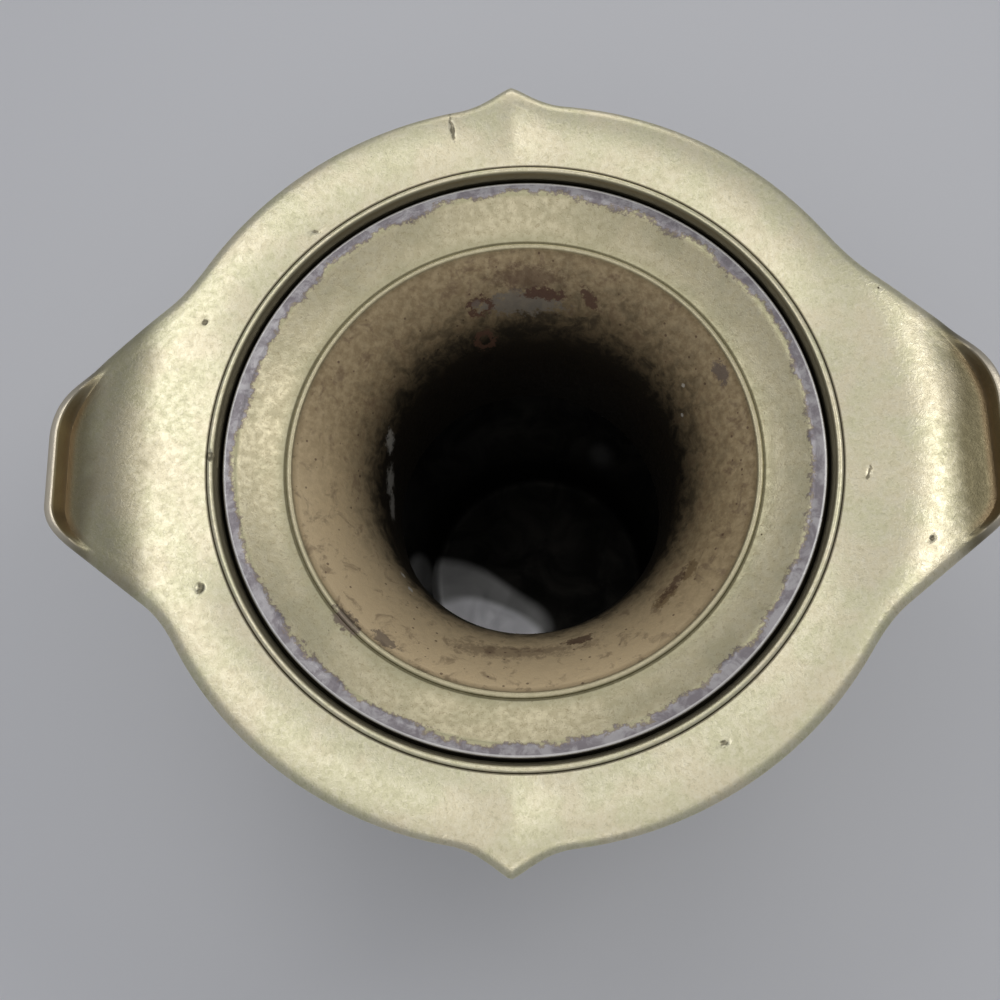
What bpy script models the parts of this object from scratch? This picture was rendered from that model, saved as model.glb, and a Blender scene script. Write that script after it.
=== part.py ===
"""Cast bronze flower vase with a wide eared brim and a loose mouth dish, in metres.

The vase is one hollow casting: a spreading foot, a round belly, a neck that flares into a wide brim with
an ear at each side and a small point in front and behind, and a raised bead round a stepped seat.
The mouth dish is a second casting, a flat rim, a sloping dish and a funnel in one, which drops into the
seat and lifts out. The origin is the middle of the foot's underside, +Z is up, the ears lie along X and
the points along Y.
"""

import math

import bmesh
import bpy

# Heights of the vase, from the table upwards
WAIST_HEIGHT = 0.0300  # narrowest place over the foot
BELLY_RISE = 0.0420  # from the waist to the widest place of the belly
SHOULDER_RISE = 0.0448  # from the belly to the narrowest place of the neck
FUNNEL_DEPTH = 0.0732  # from the neck to the flat rim of the mouth dish

# Foot and floor
FOOT_RADIUS = 0.0670
FOOT_BAND = 0.0095  # height of the rounded band at the foot's edge
FOOT_RING = 0.0080  # width of the ring that the vase stands on
FOOT_ROUNDING = 0.0016
FLOOR_HEIGHT = 0.0210  # inside floor above the table
FLOOR_THICKNESS = 0.0040
FLOOR_FILLET = 0.0040

# Walls and bores
WALL = 0.0030  # vase wall, square to its surface
WAIST_BORE = 0.0462
BELLY_BORE = 0.0840
FULLNESS = 0.40  # above 0 makes the belly fuller than a plain wave
FLARE = 3.0  # how late the mouth and the funnel open out

# Mouth dish
DISH_WALL = 0.0026
THROAT_RADIUS = 0.0461
RIM_THICKNESS = 0.0030
RIM_FLAT = 0.0042  # width of the flat rim
DISH_WIDTH = 0.0142  # from the flat rim to the crease at the dish's foot
DISH_DEPTH = 0.0074
RIDGE_WIDTH = 0.0024  # raised line where the dish turns into the funnel
RIDGE_RISE = 0.0005
DISH_ROUNDING = 0.0007

# Seat in the vase and what keeps the two castings apart
RECESS_RADIUS = 0.0950
SEAT_WIDTH = 0.0070
SEAT_THICKNESS = 0.0035
RIM_CLEARANCE = 0.0010  # round the dish's rim
NECK_CLEARANCE = 0.0028  # round the foot of the funnel
REST_GAP = 0.0003  # under the dish's rim

# Bead and brim
BEAD_WIDTH = 0.0036
BEAD_RISE = 0.0028  # crest of the bead over the dish's rim
BEAD_CREASE = 0.0006  # how far the crease behind the bead lies under its crest
BRIM_WIDTH = 0.0220  # round part of the brim, from the bead to its edge
BRIM_THICKNESS = 0.0030
BRIM_RISE = 0.0030  # from the bead's crease up to the crest near the edge
EDGE_BAND = 0.0082  # outer band of the brim that keeps its width all round
EDGE_ROLL = 0.0036  # width of the rounded edge
EDGE_DROP = 0.0019  # height of the rounded edge

# Ears and points, as the brim's outline shows them
EAR_LENGTH = 0.0279  # past the round edge of the brim
EAR_HALF_WIDTHS = {"right far": 0.0262, "left far": 0.0244, "left near": 0.0200, "right near": 0.0241}
EAR_FLANK = math.radians(38.0)  # each side of an ear, from the axis that runs through both
EAR_CORNERS = {"far": 0.0180, "near": 0.0080}  # how softly the outline turns at an ear's end
EAR_JOIN = 0.0040  # how softly an ear grows out of the round brim
EAR_SLOPE = math.radians(24.0)
EAR_BEND = 0.0100  # length over which the brim bends down into an ear
EAR_FLAT = 0.0120  # level stretch before an ear's end
LIP_RISE = 0.0035  # upturned lip at an ear's end and round its corners
LIP_START = 0.45  # share of the ear's length where the lip starts to rise along its flanks
LIP_FULL = 0.85  # share where it has its full height
POINT_LENGTH = 0.0075
POINT_HALF_WIDTH = 0.0180
POINT_SHIFTS = {"far": -0.0006, "near": -0.0053}  # both stand a little off the middle, as cast

# How finely the round shapes are divided
BODY_COLUMNS = 56
DISH_COLUMNS = 36
CROWDING = 0.40  # how far the columns gather towards the ears and the points
LEANING = 8  # how closely only the columns next to a point follow its shift

NECK_HEIGHT = WAIST_HEIGHT + BELLY_RISE + SHOULDER_RISE
RIM_HEIGHT = NECK_HEIGHT + FUNNEL_DEPTH
NECK_BORE = THROAT_RADIUS + DISH_WALL + NECK_CLEARANCE
SEAT_BORE = RECESS_RADIUS - SEAT_WIDTH
SEAT_LEVEL = RIM_HEIGHT - RIM_THICKNESS - REST_GAP
FLARE_LEVEL = SEAT_LEVEL - SEAT_THICKNESS
DISH_RADIUS = RECESS_RADIUS - RIM_CLEARANCE
PLATE_RADIUS = RECESS_RADIUS + BEAD_WIDTH
BRIM_RADIUS = PLATE_RADIUS + BRIM_WIDTH
CREASE_LEVEL = RIM_HEIGHT + BEAD_RISE - BEAD_CREASE


def ease(t):
    """Go from 0 to 1 with level ends."""
    return 0.5 - 0.5 * math.cos(math.pi * t)


def swell(t):
    """Go from a narrow place at 0 to the belly at 1, a little fuller than a plain wave."""
    return ease(t + FULLNESS * t * (1.0 - t))


def bend(x, length):
    """Stay at 0 below 0, then turn smoothly over a length into a straight climb."""
    if x <= 0.0:
        return 0.0
    return x * x / (2.0 * length) if x < length else x - 0.5 * length


def rounding(a, b, blend):
    """Height of the rounded corner where two lengths change places."""
    near = max(1.0 - abs(a - b) / blend, 0.0)
    return 0.25 * blend * near * near


def bore(z):
    """Inside radius of the vase at a height, from the waist to the seat."""
    belly_height = WAIST_HEIGHT + BELLY_RISE
    if z < belly_height:
        t = (z - WAIST_HEIGHT) / BELLY_RISE
        return WAIST_BORE + (BELLY_BORE - WAIST_BORE) * swell(max(t, 0.0))
    if z < NECK_HEIGHT:
        t = (NECK_HEIGHT - z) / SHOULDER_RISE
        return NECK_BORE + (BELLY_BORE - NECK_BORE) * swell(t)
    t = (z - NECK_HEIGHT) / (FLARE_LEVEL - NECK_HEIGHT)
    return NECK_BORE + (SEAT_BORE - NECK_BORE) * t ** FLARE


def throat(z):
    """Inside radius of the funnel at a height, from its foot to the ridge."""
    top = RIM_HEIGHT - DISH_DEPTH
    bottom = RIM_HEIGHT - FUNNEL_DEPTH
    opening = DISH_RADIUS - RIM_FLAT - DISH_WIDTH - RIDGE_WIDTH
    return THROAT_RADIUS + (opening - THROAT_RADIUS) * ((z - bottom) / (top - bottom)) ** FLARE


def outside(inside, wall, z, low, high):
    """Radius outside a wall of even thickness, given the function of its inside."""
    step = 0.0002
    a = max(z - step, low)
    b = min(z + step, high)
    slope = (inside(b) - inside(a)) / (b - a)
    return inside(z) + wall * math.hypot(1.0, slope)


def outline(angle):
    """Distance from the axis to the brim's edge in a direction, with its ears and points."""
    across = abs(math.cos(angle))
    along = abs(math.sin(angle))
    depth = "far" if math.sin(angle) > 0.0 else "near"
    side = "right" if math.cos(angle) > 0.0 else "left"
    reach = BRIM_RADIUS + EAR_LENGTH
    corner = EAR_HALF_WIDTHS[f"{side} {depth}"] * math.cos(EAR_FLANK) + reach * math.sin(EAR_FLANK)
    radius = BRIM_RADIUS
    if along * math.cos(EAR_FLANK) < across * math.sin(EAR_FLANK):
        end = reach / across
        flank = corner / (along * math.cos(EAR_FLANK) + across * math.sin(EAR_FLANK))
        ear = min(end, flank) - rounding(end, flank, EAR_CORNERS[depth])
        radius = max(BRIM_RADIUS, ear) + rounding(BRIM_RADIUS, ear, EAR_JOIN)
    offset = abs(radius * math.cos(angle) - POINT_SHIFTS[depth]) / POINT_HALF_WIDTH
    if offset < 1.0 and along > across:
        radius += POINT_LENGTH * (1.0 - ease(offset ** 0.62))
    return radius


def drop(radius):
    """How far an ear has sunk under the brim's crest at a distance from the axis."""
    crest = BRIM_RADIUS - EDGE_ROLL
    level = BRIM_RADIUS + EAR_LENGTH - EAR_FLAT - EAR_BEND
    return math.tan(EAR_SLOPE) * (bend(radius - crest, EAR_BEND) - bend(radius - level, EAR_BEND))


def column_angle(turned):
    """Direction of a turned column once the columns gather at the ears and stand on the points' tips."""
    shift = POINT_SHIFTS["far"] if turned > 0.0 else -POINT_SHIFTS["near"]
    lean = shift / (BRIM_RADIUS + POINT_LENGTH) * math.sin(turned) ** LEANING
    return turned - 0.25 * CROWDING * math.sin(4.0 * turned) - lean


def shape_brim(vertex):
    """Move a vertex of the turned body to where the brim's ears and points put it."""
    x, y, z = vertex.co
    turned = math.hypot(x, y)
    if turned < 1e-6:
        return
    angle = column_angle(math.atan2(y, x))
    radius = turned
    if turned > PLATE_RADIUS:
        growth = outline(angle) - BRIM_RADIUS
        inner = BRIM_RADIUS - EDGE_BAND
        share = min((turned - PLATE_RADIUS) / (inner - PLATE_RADIUS), 1.0)
        radius += growth * share
        at_end = (growth / EAR_LENGTH - LIP_START) / (LIP_FULL - LIP_START)
        in_lip = min(max((turned - inner) / (EDGE_BAND - EDGE_ROLL), 0.0), 1.0)
        z += LIP_RISE * ease(min(max(at_end, 0.0), 1.0)) * in_lip - drop(radius)
    vertex.co = (radius * math.cos(angle), radius * math.sin(angle), z)


def arc(centre, half_axes, start, end, steps):
    """Points on an ellipse in the section, by angle in degrees from the outward direction."""
    points = []
    for i in range(steps + 1):
        a = math.radians(start + (end - start) * i / steps)
        points.append((centre[0] + half_axes[0] * math.cos(a), centre[1] + half_axes[1] * math.sin(a)))
    return points


def levels(low, high, steps):
    """Evenly spaced heights, both ends included."""
    return [low + (high - low) * i / steps for i in range(steps + 1)]


def plate_level(radius):
    """Height of the turned brim's upper face."""
    crest = BRIM_RADIUS - EDGE_ROLL
    t = min((radius - PLATE_RADIUS) / (crest - PLATE_RADIUS), 1.0)
    return CREASE_LEVEL + BRIM_RISE * math.sin(0.5 * math.pi * t)


def body_section():
    """Half section of the vase, from the middle of its inside floor round to the middle underneath."""
    floor_edge = WAIST_BORE - 0.5 * WALL
    points = [(0.0, FLOOR_HEIGHT)]
    points += arc((floor_edge - FLOOR_FILLET, FLOOR_HEIGHT + FLOOR_FILLET), (FLOOR_FILLET, FLOOR_FILLET), -90, 0, 2)
    belly_height = WAIST_HEIGHT + BELLY_RISE
    inside = levels(WAIST_HEIGHT, belly_height, 5) + levels(belly_height, NECK_HEIGHT, 5)[1:]
    inside += levels(NECK_HEIGHT, FLARE_LEVEL, 5)[1:]
    points += [(bore(z), z) for z in inside]

    # Stepped seat, bead and brim
    bead_middle = RECESS_RADIUS + 0.62 * BEAD_WIDTH
    bead_half = PLATE_RADIUS - bead_middle
    points += [(SEAT_BORE, SEAT_LEVEL), (RECESS_RADIUS, SEAT_LEVEL)]
    points += [(RECESS_RADIUS + 0.1 * BEAD_WIDTH, RIM_HEIGHT + 0.25 * BEAD_RISE)]
    points += arc((bead_middle, RIM_HEIGHT + 0.5 * BEAD_RISE), (bead_half, 0.5 * BEAD_RISE), 150, 35, 3)
    inner = BRIM_RADIUS - EDGE_BAND
    crest = BRIM_RADIUS - EDGE_ROLL
    plate = levels(PLATE_RADIUS, inner, 4)
    points += [(r, plate_level(r)) for r in plate]
    edge_level = plate_level(crest) - EDGE_DROP
    under = BRIM_THICKNESS - EDGE_DROP
    points += arc((crest, edge_level), (EDGE_ROLL, EDGE_DROP), 90, 0, 3)
    points += arc((crest, edge_level), (EDGE_ROLL, under), -35, -90, 2)
    points += [(r, plate_level(r) - BRIM_THICKNESS) for r in reversed(plate[1:])]

    # Outside of the seat, the flare, the neck, the belly and the waist
    seat_outside = RECESS_RADIUS + WALL
    seat_under = SEAT_LEVEL - SEAT_THICKNESS
    points += [(seat_outside + 0.3 * WALL, CREASE_LEVEL - BRIM_THICKNESS)]
    points += [(seat_outside, CREASE_LEVEL - BRIM_THICKNESS - 0.6 * WALL)]
    points += [(seat_outside - 0.2 * WALL, seat_under - 0.2 * WALL), (seat_outside - WALL, seat_under - 0.6 * WALL)]
    for z in reversed(levels(NECK_HEIGHT, FLARE_LEVEL, 5)[:-1]):
        points.append((outside(bore, WALL, z, NECK_HEIGHT, FLARE_LEVEL), z))
    for z in reversed(levels(belly_height, NECK_HEIGHT, 5)[:-1]):
        points.append((outside(bore, WALL, z, belly_height, NECK_HEIGHT), z))
    for z in reversed(levels(WAIST_HEIGHT, belly_height, 5)[:-1]):
        points.append((outside(bore, WALL, z, WAIST_HEIGHT, belly_height), z))

    # Foot: a hollow curve outwards, a rounded band, the ring it stands on and the recess under the floor
    waist = WAIST_BORE + WALL
    spread = FOOT_RADIUS - FOOT_ROUNDING - waist
    curve_height = WAIST_HEIGHT - FOOT_BAND
    points += arc((waist + spread, WAIST_HEIGHT), (spread, curve_height), 180, 270, 4)[1:]
    band = 0.5 * FOOT_BAND
    points += arc((FOOT_RADIUS - FOOT_ROUNDING, band), (FOOT_ROUNDING, band), 50, -90, 3)
    ring_inside = FOOT_RADIUS - FOOT_ROUNDING - FOOT_RING
    recess_top = FLOOR_HEIGHT - FLOOR_THICKNESS
    recess_edge = waist - 0.5 * WALL
    points += [(ring_inside, 0.0)]
    hollow = (ring_inside - recess_edge, recess_top - 0.3 * FOOT_BAND)
    points += arc((recess_edge, 0.3 * FOOT_BAND), hollow, 0, 90, 3)
    points += [(0.0, recess_top)]
    return points


def dish_section():
    """Closed half section of the mouth dish: rim, dish, ridge, funnel, and back up outside."""
    rim_inside = DISH_RADIUS - RIM_FLAT
    crease = rim_inside - DISH_WIDTH
    ridge = crease - 0.5 * RIDGE_WIDTH
    foot = crease - RIDGE_WIDTH
    top = RIM_HEIGHT
    dish_foot = top - DISH_DEPTH
    bottom = top - FUNNEL_DEPTH
    round_off = DISH_ROUNDING
    points = arc((DISH_RADIUS - round_off, top - round_off), (round_off, round_off), 0, 90, 1)
    points += [(rim_inside, top), (rim_inside - 0.35 * DISH_WIDTH, top - 0.42 * DISH_DEPTH), (crease, dish_foot)]
    points += [(ridge, dish_foot + RIDGE_RISE), (foot, dish_foot)]
    heights = [dish_foot + (bottom - dish_foot) * share for share in (0.06, 0.14, 0.25, 0.38, 0.55, 0.76)]
    points += [(throat(z), z) for z in heights]
    lip = 0.5 * DISH_WALL
    points += arc((THROAT_RADIUS + lip, bottom + lip), (lip, lip), 180, 360, 2)
    for z in reversed(heights[2:]):
        points.append((outside(throat, DISH_WALL, z, bottom, dish_foot), z))
    points += [(foot + DISH_WALL, dish_foot - 1.2 * DISH_WALL - 0.001)]
    points += [(SEAT_BORE - 2.0 * REST_GAP, top - RIM_THICKNESS)]
    points += [(DISH_RADIUS - round_off, top - RIM_THICKNESS), (DISH_RADIUS, top - RIM_THICKNESS + round_off)]
    return points


def turn(name, section, columns, closed):
    """Turn a half section once round the upright axis into a closed mesh."""
    shape = bmesh.new()
    vertices = [shape.verts.new((r, 0.0, z)) for r, z in section]
    edges = [shape.edges.new(pair) for pair in zip(vertices, vertices[1:])]
    if closed:
        edges.append(shape.edges.new((vertices[-1], vertices[0])))
    bmesh.ops.spin(
        shape, geom=vertices + edges, cent=(0.0, 0.0, 0.0), axis=(0.0, 0.0, 1.0), angle=2.0 * math.pi,
        steps=columns, use_merge=True,
    )
    bmesh.ops.remove_doubles(shape, verts=shape.verts, dist=1e-6)
    bmesh.ops.recalc_face_normals(shape, faces=shape.faces)
    mesh = bpy.data.meshes.new(name)
    shape.to_mesh(mesh)
    shape.free()
    return mesh


def bronze(name, colour, roughness):
    """Make a plain metal material."""
    material = bpy.data.materials.new(name)
    material.use_nodes = True
    shader = material.node_tree.nodes["Principled BSDF"]
    shader.inputs["Base Color"].default_value = (*colour, 1.0)
    shader.inputs["Metallic"].default_value = 1.0
    shader.inputs["Roughness"].default_value = roughness
    material.diffuse_color = (*colour, 1.0)
    return material


def place(name, mesh, material):
    """Put a mesh in the scene as a named, smoothly shaded object."""
    mesh.shade_smooth()
    mesh.set_sharp_from_angle(angle=math.radians(38.0))
    mesh.materials.append(material)
    item = bpy.data.objects.new(name, mesh)
    bpy.context.scene.collection.objects.link(item)
    return item


def build_body():
    """Turn the vase and draw its brim out into ears and points."""
    mesh = turn("vase_body", body_section(), BODY_COLUMNS, closed=False)
    for vertex in mesh.vertices:
        shape_brim(vertex)
    mesh.update()
    return place("vase_body", mesh, bronze("khaki_bronze", (0.42, 0.37, 0.21), 0.38))


def build_dish():
    """Turn the loose mouth dish with its funnel."""
    mesh = turn("mouth_dish", dish_section(), DISH_COLUMNS, closed=True)
    return place("mouth_dish", mesh, bronze("brown_bronze", (0.34, 0.26, 0.14), 0.45))


def main():
    """Clear the scene and build both castings."""
    for item in list(bpy.data.objects):
        bpy.data.objects.remove(item, do_unlink=True)
    build_body()
    build_dish()


main()
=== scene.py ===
"""The bronze flower vase, dressed for the studio: both castings as fine meshes with their patina and painted
light and shade.

The vase body and the loose mouth dish take the place of the two solids of the frame, with the same sections
turned far more finely, the brim drawn out into its ears and points, and the marks of age cut in. Sizes are in
metres, +Z is up, the ears lie along X and the small points along Y.
"""

import logging
import math
from dataclasses import dataclass
from enum import Enum
from typing import Iterable, Sequence, Union

import bmesh
import bpy
from mathutils import Matrix, Vector


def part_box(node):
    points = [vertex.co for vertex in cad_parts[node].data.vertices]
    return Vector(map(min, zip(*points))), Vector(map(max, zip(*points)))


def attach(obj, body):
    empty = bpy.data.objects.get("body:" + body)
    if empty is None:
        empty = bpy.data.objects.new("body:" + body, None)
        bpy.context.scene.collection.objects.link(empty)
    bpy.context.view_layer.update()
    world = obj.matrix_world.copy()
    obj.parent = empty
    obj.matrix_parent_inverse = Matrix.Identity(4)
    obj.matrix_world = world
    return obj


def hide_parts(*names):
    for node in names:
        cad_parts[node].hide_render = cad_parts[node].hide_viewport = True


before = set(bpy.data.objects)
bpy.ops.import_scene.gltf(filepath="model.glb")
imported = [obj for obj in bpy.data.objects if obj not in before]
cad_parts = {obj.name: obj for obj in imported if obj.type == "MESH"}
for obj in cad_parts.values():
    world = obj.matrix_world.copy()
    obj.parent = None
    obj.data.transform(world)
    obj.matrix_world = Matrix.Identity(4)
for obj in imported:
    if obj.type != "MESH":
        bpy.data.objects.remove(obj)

BODY = "root"
FOLD_SHARE = "fold"  # attributes that the mesh keeps for the finish
TOP_SHARE = "top"
FACING_UP = 0.3  # least upward part of an upper face's normal

Point = tuple[float, float]  # radius and height in a half section
Section = list[Point]
Colour = tuple[float, float, float]
Place = tuple[float, float, float]
Stretch = tuple[float, float]  # where something starts and where it is full
Socket = bpy.types.NodeSocket
Value = Union[float, Socket]
Paint = Union[Colour, Socket]

log = logging.getLogger("bronze_vase")


class Slot(Enum):
    """The frame's two material slots."""

    KHAKI = "khaki_bronze"
    BROWN = "brown_bronze"


def ease(t: float) -> float:
    """Go from 0 to 1 with level ends.

    Args:
        t: How far along, held between 0 and 1.

    Returns:
        The eased share.
    """
    return 0.5 - 0.5 * math.cos(math.pi * min(max(t, 0.0), 1.0))


def bend(x: float, length: float) -> float:
    """Stay at 0 below 0, then turn smoothly over a length into a straight climb.

    Args:
        x: Distance past the start of the bend.
        length: Length over which it turns.

    Returns:
        The height of a climb of slope 1.
    """
    if x <= 0.0:
        return 0.0
    return x * x / (2.0 * length) if x < length else x - 0.5 * length


def rounding(a: float, b: float, blend: float) -> float:
    """Give the height of the rounded corner where two lengths change places.

    Args:
        a: One length.
        b: The other length.
        blend: Difference at which the rounding ends.

    Returns:
        The height to take off the shorter length or add to the longer one.
    """
    near = max(1.0 - abs(a - b) / blend, 0.0)
    return 0.25 * blend * near * near


def levels(low: float, high: float, steps: int) -> list[float]:
    """Space values evenly, both ends included.

    Args:
        low: First value.
        high: Last value.
        steps: Number of spaces between them.

    Returns:
        The values in order.
    """
    return [low + (high - low) * i / steps for i in range(steps + 1)]


def arc(centre: Point, half_axes: Point, start: float, end: float, steps: int) -> Section:
    """Place points on an ellipse in the half section.

    Args:
        centre: Middle of the ellipse, as radius and height.
        half_axes: Its half axes, outwards and upwards.
        start: First angle in degrees, from the outward direction.
        end: Last angle in degrees.
        steps: Number of pieces.

    Returns:
        The points from start to end.
    """
    points = []
    for angle in levels(math.radians(start), math.radians(end), steps):
        radius = centre[0] + half_axes[0] * math.cos(angle)
        height = centre[1] + half_axes[1] * math.sin(angle)
        points.append((radius, height))
    return points


def turn(section: Section, columns: int, closed: bool) -> bmesh.types.BMesh:
    """Spin a half section once round the upright axis.

    Args:
        section: Points as radius and height.
        columns: Number of turned columns.
        closed: Whether the section's last point joins its first.

    Returns:
        A closed shape with its faces pointing out.
    """
    shape = bmesh.new()
    vertices = [shape.verts.new((radius, 0.0, height)) for radius, height in section]
    edges = [shape.edges.new(pair) for pair in zip(vertices, vertices[1:])]
    if closed:
        edges.append(shape.edges.new((vertices[-1], vertices[0])))
    bmesh.ops.spin(
        shape, geom=vertices + edges, cent=(0.0, 0.0, 0.0), axis=(0.0, 0.0, 1.0), angle=2.0 * math.pi,
        steps=columns, use_merge=True,
    )
    bmesh.ops.remove_doubles(shape, verts=shape.verts, dist=1e-7)
    bmesh.ops.recalc_face_normals(shape, faces=shape.faces)
    return shape


def finish_piece(
    name: str, shape: bmesh.types.BMesh, node: str, materials: Sequence[bpy.types.Material],
) -> bpy.types.Object:
    """Put a shape in the scene as a piece that stands for a node of the frame.

    Args:
        name: Name of the new piece.
        shape: Its shape, which is freed here.
        node: The frame's node that it replaces.
        materials: Its finishes, in the order of the faces' material numbers.

    Returns:
        The new object.
    """
    mesh = bpy.data.meshes.new(name)
    shape.to_mesh(mesh)
    shape.free()
    mesh.shade_smooth()
    mesh.set_sharp_from_angle(angle=math.radians(50.0))
    for material in materials:
        mesh.materials.append(material)
    piece = bpy.data.objects.new(name, mesh)
    bpy.context.scene.collection.objects.link(piece)
    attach(piece, BODY)
    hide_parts(node)
    mesh.calc_loop_triangles()
    log.info("%s: %d faces, %d triangles", name, len(mesh.polygons), len(mesh.loop_triangles))
    return piece


@dataclass(frozen=True)
class FrameSizes:
    """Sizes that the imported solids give.

    Attributes:
        reach: From the axis to an ear's end.
        rim_height: Height of the mouth dish's flat rim.
        dish_radius: Outer radius of the mouth dish.
        funnel_foot: Height of the funnel's lower end.
    """

    reach: float
    rim_height: float
    dish_radius: float
    funnel_foot: float

    @classmethod
    def read(cls) -> "FrameSizes":
        """Measure the frame's two nodes.

        Returns:
            The sizes.
        """
        body_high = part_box("vase_body")[1]
        dish_low, dish_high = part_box("mouth_dish")
        return cls(body_high.x, dish_high.z, dish_high.x, dish_low.z)


@dataclass(frozen=True)
class Pit:
    """A small hollow or nick in the upper face of the brim or the bead.

    Attributes:
        x: Place along the ears.
        y: Place along the points.
        radius: Half its width.
        depth: How far its middle is sunk.
        stretch: Its length over its width.
        turn: Direction of its length in degrees from X.
    """

    x: float
    y: float
    radius: float
    depth: float
    stretch: float = 1.0
    turn: float = 0.0

    def share(self, place: Vector) -> float:
        """Tell how far out in the pit a place lies.

        Args:
            place: A place on the surface.

        Returns:
            0 in the middle, 1 at the pit's edge.
        """
        angle = math.radians(self.turn)
        dx = place.x - self.x
        dy = place.y - self.y
        along = dx * math.cos(angle) + dy * math.sin(angle)
        across = dy * math.cos(angle) - dx * math.sin(angle)
        return math.hypot(along / self.stretch, across) / self.radius

    def press(self, shape: bmesh.types.BMesh, cuts: int, margin: float) -> None:
        """Divide the upper faces round the pit and sink them.

        Args:
            shape: The shape to work on.
            cuts: Cuts in each edge near the pit.
            margin: How far out the faces are divided, as a share of the pit.
        """
        shape.normal_update()
        upper = [face for face in shape.faces if face.normal.z > FACING_UP]
        near = [face for face in upper if self.share(face.calc_center_median()) < margin]
        edges = list({edge for face in near for edge in face.edges})
        bmesh.ops.subdivide_edges(shape, edges=edges, cuts=cuts, use_grid_fill=True)
        shape.normal_update()
        for vertex in shape.verts:
            if vertex.normal.z > FACING_UP:
                share = self.share(vertex.co)
                if share < 1.0:
                    vertex.co.z -= self.depth * (1.0 - ease(share))


@dataclass(frozen=True)
class Quarter:
    """How the brim's outline runs in one quarter, where the casting is a little uneven.

    Attributes:
        ear_half_width: Half width of the ear at its end.
        ear_corner: How softly the outline turns at the ear's end.
        point_shift: Where the small point stands along X.
    """

    ear_half_width: float
    ear_corner: float
    point_shift: float


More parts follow.
